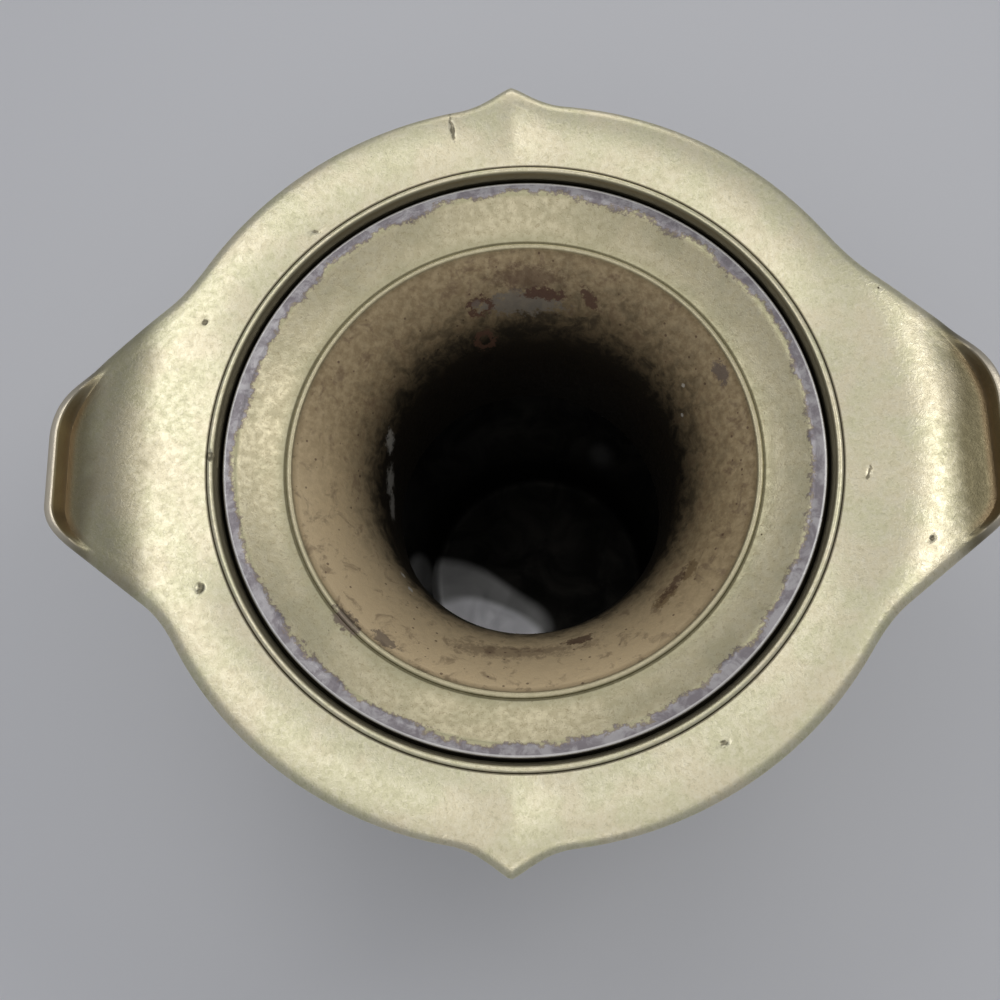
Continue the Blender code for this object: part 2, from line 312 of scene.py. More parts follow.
@dataclass
class Brim:
    """The brim's outline and fall, with its ears, upturned lips and small points."""

    radius: float  # round edge of the brim
    reach: float  # ears' ends from the axis
    plate_radius: float  # where the plate starts, behind the bead
    edge_band: float = 0.0082  # band along the edge that keeps its width on the ears
    edge_roll: float = 0.0036
    edge_drop: float = 0.0019
    ear_flank: float = math.radians(38.0)  # between the ear's side and X
    ear_join: float = 0.0040
    ear_slope: float = math.radians(15.0)
    ear_bend: float = 0.0140  # length over which the ear turns down
    lip_share: float = 0.89  # share of the ear's fall that the lip takes back
    lip_width: float = 0.0026
    lip_slant: float = 0.13
    fold_width: float = 0.0024
    fold_fade: float = 0.0025
    flat_top: float = 0.15  # share of the fold's climb that is its flat top
    roll_fullness: int = 4
    lip_start: float = 0.68  # shares of the ear's length where the lip starts and is full
    lip_full: float = 1.00
    point_length: float = 0.0075
    point_half_width: float = 0.0180
    point_sharpness: float = 0.62
    right_far: Quarter = Quarter(0.0262, 0.0180, -0.0006)
    left_far: Quarter = Quarter(0.0244, 0.0180, -0.0006)
    left_near: Quarter = Quarter(0.0200, 0.0080, -0.0053)
    right_near: Quarter = Quarter(0.0241, 0.0080, -0.0053)
    crowding: float = 0.40  # how far the columns gather at the ears and points
    leaning: int = 8

    def ear_length(self) -> float:
        """Return how far an ear reaches past the round edge."""
        return self.reach - self.radius

    def quarter(self, angle: float) -> Quarter:
        """Give the quarter that a direction lies in.

        Args:
            angle: Direction in radians from X.

        Returns:
            The quarter.
        """
        if math.sin(angle) > 0.0:
            return self.right_far if math.cos(angle) > 0.0 else self.left_far
        return self.right_near if math.cos(angle) > 0.0 else self.left_near

    def outline(self, angle: float) -> float:
        """Give the brim's edge in a direction.

        Args:
            angle: Direction in radians from X.

        Returns:
            Distance from the axis.
        """
        across = abs(math.cos(angle))
        along = abs(math.sin(angle))
        quarter = self.quarter(angle)
        corner = quarter.ear_half_width * math.cos(self.ear_flank) + self.reach * math.sin(self.ear_flank)
        radius = self.radius
        if along * math.cos(self.ear_flank) < across * math.sin(self.ear_flank):
            end = self.reach / across
            flank = corner / (along * math.cos(self.ear_flank) + across * math.sin(self.ear_flank))
            ear = min(end, flank) - rounding(end, flank, quarter.ear_corner)
            radius = max(self.radius, ear) + rounding(self.radius, ear, self.ear_join)
        offset = abs(radius * math.cos(angle) - quarter.point_shift) / self.point_half_width
        if offset < 1.0 and along > across:
            radius += self.point_length * (1.0 - ease(offset ** self.point_sharpness))
        return radius

    def column_angle(self, turned: float) -> float:
        """Gather the turned columns at the ears and stand one on each point's tip.

        Args:
            turned: Direction of a column as turned.

        Returns:
            Its direction on the vase.
        """
        shift = self.quarter(turned).point_shift * math.copysign(1.0, turned)
        lean = shift / (self.radius + self.point_length) * math.sin(turned) ** self.leaning
        return turned - 0.25 * self.crowding * math.sin(4.0 * turned) - lean

    def drop(self, radius: float) -> float:
        """Give how far an ear has sunk under the brim's crest.

        Args:
            radius: Distance from the axis.

        Returns:
            The fall in metres.
        """
        crest = self.radius - self.edge_roll
        return math.tan(self.ear_slope) * bend(radius - crest, self.ear_bend)

    def shape(self, shape: bmesh.types.BMesh, edge_level: float) -> None:
        """Move the turned brim to where the ears, lips and points put it.

        The mesh keeps the shares of the lips' folds and flat tops for the finish.

        Args:
            shape: The turned body.
            edge_level: Height of the middle of the rounded edge.
        """
        fold_layer = shape.verts.layers.float.new(FOLD_SHARE)
        top_layer = shape.verts.layers.float.new(TOP_SHARE)
        inner = self.radius - self.edge_band
        for vertex in shape.verts:
            turned = math.hypot(vertex.co.x, vertex.co.y)
            if turned < 1e-6:
                continue
            angle = self.column_angle(math.atan2(vertex.co.y, vertex.co.x))
            radius = turned
            z = vertex.co.z
            if turned > self.plate_radius:
                edge = self.outline(angle)
                growth = edge - self.radius
                radius += growth * min((turned - self.plate_radius) / (inner - self.plate_radius), 1.0)
                lip = ease((growth / self.ear_length() - self.lip_start) / (self.lip_full - self.lip_start))
                climb = (turned - self.radius + self.lip_width + self.fold_width) / self.fold_width
                climb = min(max(climb, 0.0), 1.0)
                if z > edge_level and turned > self.radius - self.edge_roll:
                    share = (z - edge_level) / self.edge_drop
                    z += self.edge_drop * lip * (1.0 - (1.0 - share) ** self.roll_fullness - share)
                z += self.lip_share * self.drop(edge) * lip * climb - self.drop(radius)
                z += self.lip_slant * lip * max(turned - self.radius + self.lip_width, 0.0)
                top = ease((climb - 1.0 + self.flat_top) / self.flat_top)
                vertex[fold_layer] = lip * lip * ease((turned - inner) / self.fold_fade) * (1.0 - top)
                vertex[top_layer] = lip * top
            vertex.co = (radius * math.cos(angle), radius * math.sin(angle), z)


@dataclass
class VaseBody:
    """The hollow casting: foot, belly, neck, stepped seat, bead and brim."""

    sizes: FrameSizes
    waist_height: float = 0.0300
    belly_rise: float = 0.0420
    shoulder_rise: float = 0.0448
    foot_radius: float = 0.0670
    foot_band: float = 0.0095
    foot_ring: float = 0.0080
    foot_rounding: float = 0.0016
    floor_height: float = 0.0210
    floor_thickness: float = 0.0040
    floor_fillet: float = 0.0040
    wall: float = 0.0030
    waist_bore: float = 0.0462
    belly_bore: float = 0.0840
    neck_bore: float = 0.0515
    fullness: float = 0.40
    flare: float = 3.0
    rim_clearance: float = 0.0010
    seat_width: float = 0.0070
    seat_thickness: float = 0.0035
    seat_depth: float = 0.0033
    seat_break: float = 0.0006
    seat_fillet: float = 0.0004
    bead_width: float = 0.0036
    bead_rise: float = 0.0028
    bead_crease: float = 0.0006
    brim_width: float = 0.0220
    brim_thickness: float = 0.0030
    brim_rise: float = 0.0030
    columns: int = 360
    inside_steps: int = 14
    outside_steps: int = 20
    pit_cuts: int = 3
    pit_margin: float = 1.6
    pits: tuple[Pit, ...] = (
        Pit(-0.0982, -0.0409, 0.0017, 0.0007, 1.3, 60.0),
        Pit(-0.1003, 0.0463, 0.0011, 0.0005),
        Pit(0.0567, -0.0913, 0.0013, 0.0005, 1.4, 20.0),
        Pit(0.1217, -0.0325, 0.0012, 0.0006),
        Pit(-0.0973, 0.0020, 0.0016, 0.0007, 1.6, 90.0),
        Pit(-0.0203, 0.1124, 0.0010, 0.0004, 5.5, 99.0),
        Pit(0.1053, -0.0106, 0.0008, 0.0003, 3.6, 70.0),
        Pit(-0.0657, 0.0775, 0.0007, 0.0004, 3.2, -8.0),
    )

    def __post_init__(self) -> None:
        """Work out the levels and radii that follow from the sizes."""
        rim = self.sizes.rim_height
        self.belly_height = self.waist_height + self.belly_rise
        self.neck_height = self.belly_height + self.shoulder_rise
        self.recess_radius = self.sizes.dish_radius + self.rim_clearance
        self.seat_bore = self.recess_radius - self.seat_width
        self.seat_level = rim - self.seat_depth
        self.flare_level = self.seat_level - self.seat_thickness
        self.plate_radius = self.recess_radius + self.bead_width
        self.bead_middle = self.recess_radius + 0.62 * self.bead_width
        self.crease_level = rim + self.bead_rise - self.bead_crease
        self.brim = Brim(self.plate_radius + self.brim_width, self.sizes.reach, self.plate_radius)
        self.crest = self.brim.radius - self.brim.edge_roll
        self.edge_level = self.plate_level(self.crest) - self.brim.edge_drop

    def swell(self, t: float) -> float:
        """Go from a narrow place to the belly, a little fuller than a plain wave.

        Args:
            t: Share of the way to the belly.

        Returns:
            Share of the swelling.
        """
        return ease(t + self.fullness * t * (1.0 - t))

    def bore(self, z: float) -> float:
        """Give the inside radius.

        Args:
            z: Height between the waist and the seat.

        Returns:
            The radius.
        """
        if z < self.belly_height:
            swelling = self.swell(max((z - self.waist_height) / self.belly_rise, 0.0))
            return self.waist_bore + (self.belly_bore - self.waist_bore) * swelling
        if z < self.neck_height:
            swelling = self.swell((self.neck_height - z) / self.shoulder_rise)
            return self.neck_bore + (self.belly_bore - self.neck_bore) * swelling
        t = (z - self.neck_height) / (self.flare_level - self.neck_height)
        return self.neck_bore + (self.seat_bore - self.neck_bore) * t ** self.flare

    def plate_level(self, radius: float) -> float:
        """Give the height of the round brim's upper face.

        Args:
            radius: Distance from the axis.

        Returns:
            The height.
        """
        t = min((radius - self.plate_radius) / (self.crest - self.plate_radius), 1.0)
        return self.crease_level + self.brim_rise * math.sin(0.5 * math.pi * t)

    def stretches(self) -> list[tuple[float, float]]:
        """Return the lower and upper heights of the wall's stretches, from the waist up to the seat."""
        turns = (self.waist_height, self.belly_height, self.neck_height, self.flare_level)
        return list(zip(turns, turns[1:]))

    def inside(self) -> Section:
        """Lay out the half section from the middle of the floor up to the seat's inner edge.

        Returns:
            The points in order.
        """
        floor_edge = self.waist_bore - 0.5 * self.wall - self.floor_fillet
        fillet = (self.floor_fillet, self.floor_fillet)
        points = [(radius, self.floor_height) for radius in levels(0.0, floor_edge, 12)[:-1]]
        points += arc((floor_edge, self.floor_height + self.floor_fillet), fillet, -90.0, 0.0, 6)
        heights = [self.waist_height]
        for low, high in self.stretches():
            heights += levels(low, high, self.inside_steps)[1:]
        return points + [(self.bore(z), z) for z in heights]

    def mouth(self) -> Section:
        """Lay out the half section of the seat, the bead, the plate and the rounded edge.

        Returns:
            The points in order.
        """
        rim = self.sizes.rim_height
        half_rise = 0.5 * self.bead_rise
        points = [(self.seat_bore, self.seat_level - self.seat_break)]
        seat = levels(self.seat_bore + 2.0 * self.seat_break, self.recess_radius - self.seat_fillet, 3)
        points += [(radius, self.seat_level) for radius in [self.seat_bore + self.seat_break] + seat]
        points += [(self.recess_radius, self.seat_level + self.seat_fillet)]
        points += [(self.recess_radius, rim - self.seat_break), (self.recess_radius + 0.0001, rim + 0.0002)]
        bead = (self.plate_radius - self.bead_middle, half_rise)
        points += arc((self.bead_middle, rim + half_rise), bead, 168.0, 20.0, 12)
        plate = levels(self.plate_radius, self.brim.radius - self.brim.edge_band, 22)
        points += [(radius, self.plate_level(radius)) for radius in plate]
        band = levels(self.brim.radius - self.brim.edge_band, self.crest, 12)
        points += [(radius, self.plate_level(radius)) for radius in band[1:-1]]
        roll = self.brim.edge_roll
        points += arc((self.crest, self.edge_level), (roll, self.brim.edge_drop), 90.0, 0.0, 12)
        return points

    def underside(self) -> Section:
        """Lay out the half section from the rounded edge under the brim and down outside to the foot.

        Returns:
            The points in order.
        """
        under = self.brim_thickness - self.brim.edge_drop
        points = arc((self.crest, self.edge_level), (self.brim.edge_roll, under), -18.0, -90.0, 6)
        plate = levels(self.plate_radius, self.brim.radius - self.brim.edge_band, 10)
        points += [(radius, self.plate_level(radius) - self.brim_thickness) for radius in reversed(plate[1:])]
        seat_outside = self.recess_radius + self.wall
        step = self.crease_level - self.brim_thickness
        points += arc((seat_outside + 0.0016, step - 0.0022), (0.0016, 0.0022), 90.0, 180.0, 4)
        seat_under = self.seat_level - self.seat_thickness
        points += arc((seat_outside - 0.0040, seat_under + 0.0016), (0.0040, 0.0030), -8.0, -62.0, 5)
        for low, high in reversed(self.stretches()):
            for z in reversed(levels(low, high, self.outside_steps)[:-1]):
                points.append((self.outside(z, low, high), z))
        return points

    def outside(self, z: float, low: float, high: float) -> float:
        """Give the radius outside the wall.

        Args:
            z: Height.
            low: Lower end of the stretch that the height is on.
            high: Its upper end.

        Returns:
            The radius.
        """
        below = max(z - 0.0002, low)
        above = min(z + 0.0002, high)
        slope = (self.bore(above) - self.bore(below)) / (above - below)
        return self.bore(z) + self.wall * math.hypot(1.0, slope)

    def foot(self) -> Section:
        """Lay out the half section of the foot: hollow curve, rounded band, standing ring and recess.

        Returns:
            The points in order.
        """
        waist = self.waist_bore + self.wall
        edge = self.foot_radius - self.foot_rounding
        curve_height = self.waist_height - self.foot_band
        points = arc((edge, self.waist_height), (edge - waist, curve_height), 180.0, 270.0, 16)[1:]
        band = 0.5 * self.foot_band
        points += arc((edge, band), (self.foot_rounding, band), 75.0, -90.0, 14)
        ring_inside = edge - self.foot_ring
        recess_top = self.floor_height - self.floor_thickness
        recess_edge = waist - 0.5 * self.wall
        points += [(ring_inside + 0.004, 0.0), (ring_inside, 0.0)]
        hollow = (ring_inside - recess_edge, recess_top - 0.3 * self.foot_band)
        points += arc((recess_edge, 0.3 * self.foot_band), hollow, 0.0, 90.0, 8)
        return points + [(radius, recess_top) for radius in levels(recess_edge, 0.0, 6)[1:]]

    def is_lined(self, centre: Vector) -> bool:
        """Tell whether a face takes the inside's painted shade.

        Args:
            centre: Middle of the face before the brim is drawn out.

        Returns:
            True for the floor and the bore up to the seat.
        """
        inner_wall = 0.5 * self.wall
        if not self.floor_height - inner_wall < centre.z < self.seat_level + inner_wall:
            return False
        bore = self.bore(min(centre.z, self.flare_level))
        return math.hypot(centre.x, centre.y) < min(self.seat_bore, bore + inner_wall)

    def build(self) -> bpy.types.Object:
        """Turn the casting, draw out its brim and cut its pits.

        Returns:
            The piece.
        """
        section = self.inside() + self.mouth() + self.underside() + self.foot()
        shape = turn(section, self.columns, closed=False)
        for face in shape.faces:
            if self.is_lined(face.calc_center_median()):
                face.material_index = 1
        self.brim.shape(shape, self.edge_level)
        for pit in self.pits:
            pit.press(shape, self.pit_cuts, self.pit_margin)
        outer = KhakiBronze(self.sizes, self.bead_middle, self.plate_radius, self.pits)
        finishes = (outer.material(), PaintedInside(self.floor_height).material())
        return finish_piece("bronze_body", shape, "vase_body", finishes)


@dataclass
class MouthDish:
    """The loose casting that lies in the seat: flat rim, sloping dish, ridge and funnel."""

    sizes: FrameSizes
    seat_bore: float  # bore of the seat that it lies in
    wall: float = 0.0026
    throat_radius: float = 0.0461
    rim_thickness: float = 0.0030
    rim_flat: float = 0.0042
    dish_width: float = 0.0142
    dish_depth: float = 0.0074
    ridge_width: float = 0.0024
    ridge_rise: float = 0.0005
    edge_rounding: float = 0.0007
    play: float = 0.0006
    flare: float = 3.0
    columns: int = 300

    def throat(self, z: float) -> float:
        """Give the inside radius of the funnel.

        Args:
            z: Height between the funnel's foot and the ridge.

        Returns:
            The radius.
        """
        top = self.sizes.rim_height - self.dish_depth
        opening = self.sizes.dish_radius - self.rim_flat - self.dish_width - self.ridge_width
        share = (z - self.sizes.funnel_foot) / (top - self.sizes.funnel_foot)
        return self.throat_radius + (opening - self.throat_radius) * share ** self.flare

    def outside(self, z: float) -> float:
        """Give the outside radius of the funnel.

        Args:
            z: Height.

        Returns:
            The radius.
        """
        step = 0.0002
        low = max(z - step, self.sizes.funnel_foot)
        slope = (self.throat(z + step) - self.throat(low)) / (z + step - low)
        return self.throat(z) + self.wall * math.hypot(1.0, slope)

    def upper_face(self) -> Section:
        """Lay out the half section of the rim, the dish, the crease and the ridge, from the edge inwards.

        Returns:
            The points in order.
        """
        radius = self.sizes.dish_radius
        top = self.sizes.rim_height
        edge = self.edge_rounding
        rim_inside = radius - self.rim_flat
        crease = rim_inside - self.dish_width
        dish_foot = top - self.dish_depth
        points = arc((radius - edge, top - edge), (edge, edge), 0.0, 90.0, 5)
        points += [(r, top) for r in levels(radius - edge, rim_inside + 0.0005, 4)[1:]]
        for share in levels(0.04, 0.96, 16):
            points.append((rim_inside - self.dish_width * share, top - self.dish_depth * self.hollow(share)))
        points.append((crease, dish_foot))
        middle = crease - 0.5 * self.ridge_width
        ridge_half = 0.5 * self.ridge_width
        points += arc((middle, dish_foot), (0.86 * ridge_half, 1.5 * self.ridge_rise), 0.0, 180.0, 8)
        return points

    def hollow(self, share: float) -> float:
        """Return the dish's depth at a share of its width, steeper at first and flatter at its foot."""
        return 1.0 - (1.0 - share) ** 1.22

    def funnel(self) -> Section:
        """Lay out the half section down the funnel, round its lip and back up outside.

        Returns:
            The points in order.
        """
        dish_foot = self.sizes.rim_height - self.dish_depth
        foot = self.sizes.funnel_foot
        drop = foot - dish_foot
        heights = [dish_foot + drop * (0.02 + 0.96 * share ** 1.5) for share in levels(0.0, 1.0, 44)]
        points = [(self.throat(z), z) for z in heights]
        lip = 0.5 * self.wall
        points += arc((self.throat_radius + lip, foot + lip), (lip, lip), 180.0, 360.0, 8)
        for z in reversed(heights[6:-2:2]):
            points.append((self.outside(z), z))
        return points

    def lower_face(self) -> Section:
        """Lay out the half section under the dish and the rim, out to the edge.

        Returns:
            The points in order.
        """
        radius = self.sizes.dish_radius
        top = self.sizes.rim_height
        edge = self.edge_rounding
        under = top - self.rim_thickness
        start = radius - self.rim_flat - self.dish_width - self.ridge_width + self.wall
        first = (start, top - self.dish_depth - 1.2 * self.wall - 0.001)
        last = (self.seat_bore - self.play, under)
        points = []
        for share in levels(0.0, 1.0, 6):
            points.append((first[0] + (last[0] - first[0]) * share, first[1] + (last[1] - first[1]) * share))
        points += [(r, under) for r in levels(last[0], radius - edge, 4)[1:]]
        return points + [(radius, under + edge)]

    def build(self) -> bpy.types.Object:
        """Turn the dish.

        Returns:
            The piece.
        """
        shape = turn(self.upper_face() + self.funnel() + self.lower_face(), self.columns, closed=True)
        radius = self.sizes.dish_radius
        crease = radius - self.rim_flat - self.dish_width
        half = 0.5 * self.ridge_width
        finish = DishBronze(self.sizes.rim_height, radius, crease, crease - half, half)
        return finish_piece("bronze_mouth_dish", shape, "mouth_dish", (finish.material(),))


class Bench:
    """A material's node tree, with short ways to add nodes and join them."""

    def __init__(self, name: str) -> None:
        """Start an empty metal finish.

        Args:
            name: Name of the material.
        """
        self.material = bpy.data.materials.new(name)
        self.material.use_nodes = True
        self.tree = self.material.node_tree
        self.shader = self.tree.nodes["Principled BSDF"]
        self.place = self.tree.nodes.new("ShaderNodeTexCoord").outputs["Object"]

    def join(self, value: object, socket: Socket) -> None:
        """Link a socket to an input, or set the input's own value.

        Args:
            value: Socket, number, place or colour.
            socket: The input.
        """
        if isinstance(value, Socket):
            self.tree.links.new(value, socket)
        else:
            socket.default_value = value

    def add(self, kind: str, inputs: dict, **settings: object) -> bpy.types.Node:
        """Add a node.

        Args:
            kind: Blender's name for its type.
            inputs: Values or sockets by input name or number.
            **settings: The node's own settings.

        Returns:
            The node.
        """
        node = self.tree.nodes.new(kind)
        for name, value in settings.items():
            setattr(node, name, value)
        for name, value in inputs.items():
            self.join(value, node.inputs[name])
        return node

    def grain(self, scale: float, detail: float, rough: float, warp: float = 0.0) -> Socket:
        """Add a cloudy noise.

        Args:
            scale: Features to a metre.
            detail: How many finer layers it has.
            rough: How strong they are.
            warp: How far it is distorted.

        Returns:
            Its value, about 0.5 in the middle.
        """
        inputs = {
            "Vector": self.place, "Scale": scale, "Detail": detail, "Roughness": rough, "Distortion": warp,
        }
        return self.add("ShaderNodeTexNoise", inputs).outputs["Fac"]

    def patina(self) -> tuple[Socket, Socket, Socket]:
        """Return the noises of the cast skin: wide clouds, mottle and fine grain."""
        return self.grain(70.0, 3.0, 0.5), self.grain(420.0, 3.0, 0.62), self.grain(1000.0, 3.0, 0.6, 1.2)

    def span(self, value: Value, low: float, high: float, start: float = 0.0, end: float = 1.0) -> Socket:
        """Turn a stretch of values smoothly into another.

        Args:
            value: Socket to read.
            low: Value that becomes start.
            high: Value that becomes end.
            start: First result.
            end: Last result.

        Returns:
            The result, held between start and end.
        """
        inputs = {"Value": value, "From Min": low, "From Max": high, "To Min": start, "To Max": end}
        return self.add("ShaderNodeMapRange", inputs, interpolation_type="SMOOTHSTEP").outputs["Result"]

    def calc(self, what: str, a: Value, b: Value = 0.0) -> Socket:
        """Return the result of a Math node on two values."""
        return self.add("ShaderNodeMath", {0: a, 1: b}, operation=what).outputs[0]

    def times(self, a: Value, b: Value) -> Socket:
        """Return the product of two shares."""
        return self.calc("MULTIPLY", a, b)

    def vector(self, what: str, a: Socket, b: Place, result: str = "Vector") -> Socket:
        """Return the result of a Vector Math node on a vector and a fixed one."""
        return self.add("ShaderNodeVectorMath", {0: a, 1: b}, operation=what).outputs[result]

    def length(self, vector: Socket) -> Socket:
        """Return a vector's length."""
        return self.add("ShaderNodeVectorMath", {0: vector}, operation="LENGTH").outputs["Value"]

    def mix(self, share: Value, a: Paint, b: Paint) -> Socket:
        """Mix two colours.

        Args:
            share: How much of the second one.
            a: First colour or socket.
            b: Second colour or socket.

        Returns:
            The colour.
        """
        node = self.add("ShaderNodeMix", {}, data_type="RGBA")
        for socket, value in ((node.inputs[0], share), (node.inputs[6], a), (node.inputs[7], b)):
            self.join((*value, 1.0) if isinstance(value, tuple) else value, socket)
        return node.outputs[2]

    def spot(self, centre: Place, reach: Place, turn_deg: float, ragged: Socket, soft: float) -> Socket:
        """Mask a ragged stretched spot.

        Args:
            centre: Its middle.
            reach: Its half lengths along its own axes.
            turn_deg: Turn about the upright axis, in degrees from X.
            ragged: Noise that frays its edge.
            soft: Share of its reach over which it fades.

        Returns:
            1 inside, 0 outside.
        """
        inputs = {"Vector": self.vector("SUBTRACT", self.place, centre), "Angle": -math.radians(turn_deg)}
        turned = self.add("ShaderNodeVectorRotate", inputs, rotation_type="Z_AXIS").outputs[0]
        length = self.length(self.vector("DIVIDE", turned, reach))
        frayed = self.calc("ADD", length, self.span(ragged, 0.25, 0.75, -0.55, 0.55))
        return self.span(frayed, 1.0 + 0.5 * soft, 1.0 - 0.5 * soft)

    def radius(self) -> Socket:
        """Return the distance from the upright axis."""
        return self.length(self.vector("MULTIPLY", self.place, (1.0, 1.0, 0.0)))

    def height(self) -> Socket:
        """Return the height."""
        return self.add("ShaderNodeSeparateXYZ", {0: self.place}).outputs["Z"]

    def kept(self, name: str) -> Socket:
        """Return a share that the mesh keeps as an attribute."""
        return self.add("ShaderNodeAttribute", {}, attribute_name=name).outputs["Fac"]

    def band(self, value: Socket, middle: float, half: float, soft: float) -> Socket:
        """Mask a narrow band of values.

        Args:
            value: Socket to read.
            middle: Middle of the band.
            half: Half its width.
            soft: Width over which each side fades.

        Returns:
            1 inside, 0 outside.
        """
        off = self.calc("ABSOLUTE", self.calc("SUBTRACT", value, middle))
        return self.span(off, half + soft, half)

    def specks(self, scale: float, size: float, rarity: float) -> Socket:
        """Scatter small round specks.

        Args:
            scale: Cells to a metre, with at most one speck each.
            size: Radius of the largest, as a share of a cell.
            rarity: Share of the cells without one.

        Returns:
            1 in a speck, 0 outside.
        """
        node = self.add("ShaderNodeTexVoronoi", {"Vector": self.place, "Scale": scale, "Randomness": 1.0})
        chance = self.add("ShaderNodeSeparateColor", {0: node.outputs["Color"]}).outputs[0]
        reach = self.span(chance, rarity, 1.0, 0.0, size)
        gap = self.calc("SUBTRACT", node.outputs["Distance"], reach)
        inside = self.span(gap, 0.25 * size, -0.25 * size)
        return self.times(inside, self.span(chance, rarity, rarity + 0.02))

    def paint(self, colour: Paint, marks: Sequence["Mark"], ragged: Socket) -> Socket:
        """Lay marks over a colour one by one.

        Args:
            colour: Colour underneath.
            marks: The marks in order.
            ragged: Noise that frays their edges.

        Returns:
            The colour.
        """
        for mark in marks:
            share = self.spot(mark.centre, mark.reach, mark.turn, ragged, mark.soft)
            if mark.hollow:
                inner = tuple(mark.hollow * reach for reach in mark.reach)
                gap = self.calc("SUBTRACT", 1.0, self.spot(mark.centre, inner, mark.turn, ragged, mark.soft))
                share = self.times(share, gap)
            colour = self.mix(self.times(share, mark.strength), colour, mark.colour)
        return colour

    def feed(self, colour: Paint, roughness: Value, metallic: Value) -> None:
        """Give the shader its colour, roughness and metallic value.

        Args:
            colour: Colour or socket.
            roughness: Roughness or socket.
            metallic: Metallic value or socket.
        """
        for name, value in (("Base Color", colour), ("Roughness", roughness), ("Metallic", metallic)):
            self.join(value, self.shader.inputs[name])

    def relief(self, layers: Iterable[tuple]) -> None:
        """Stack bumps on the shader's normal.

        Args:
            layers: Pairs of a height socket and its depth in metres.
        """
        normal = None
        for height, depth in layers:
            inputs = {"Height": height, "Strength": 1.0, "Distance": depth}
            if normal:
                inputs["Normal"] = normal
            normal = self.add("ShaderNodeBump", inputs).outputs["Normal"]
        self.tree.links.new(normal, self.shader.inputs["Normal"])


@dataclass(frozen=True)
class Mark:
    """A stain or scrape at one place of a finish.

    Attributes:
        colour: Its colour.
        centre: Its middle.
        reach: Its half lengths along its own axes.
        turn: Turn about the upright axis in degrees from X.
        strength: How much it covers.
        soft: Share of its reach over which it fades.
        hollow: Share of its reach that is left clear in the middle.
    """

    colour: Colour
    centre: Place
    reach: Place
    turn: float = 0.0
    strength: float = 0.8
    soft: float = 0.5
    hollow: float = 0.0


